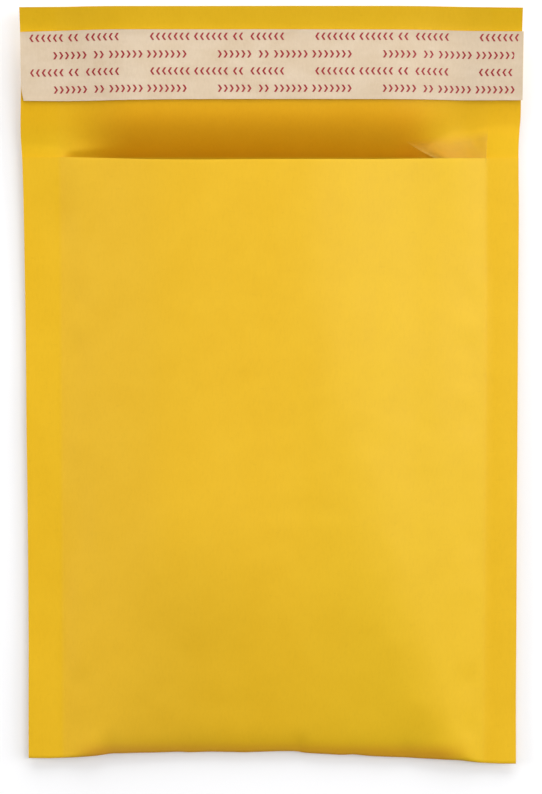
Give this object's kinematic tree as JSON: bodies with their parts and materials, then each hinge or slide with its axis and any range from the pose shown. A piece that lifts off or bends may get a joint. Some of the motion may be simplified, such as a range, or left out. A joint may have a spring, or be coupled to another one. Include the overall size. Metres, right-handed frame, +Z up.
{
  "type": "padded envelope",
  "caption": "Kraft paper padded envelope with a bubble film lining, lying flat with its flap open and the release strip still on.",
  "frame": {"origin": "centre of the bounding box on the underside, where the envelope lies on the table", "axes": "+Y along the envelope from the bottom fold to the flap's edge, +X across it, +Z up through its thickness, front panel upwards"},
  "size_m": [0.1744, 0.2668, 0.0114],
  "materials": {
    "kraft_paper": "golden kraft paper, matt with a faint sheen",
    "bubble_film": "clear polythene bubble film",
    "hot_melt_adhesive": "tacky amber hot melt adhesive",
    "release_paper": "cream silicone-coated release paper with dark red marks"
  },
  "bodies": {
    "root": {"kraft_envelope": "kraft_paper", "bubble_liner": "bubble_film", "adhesive_strip": "hot_melt_adhesive", "release_strip": "release_paper"}
  },
  "joints": []
}
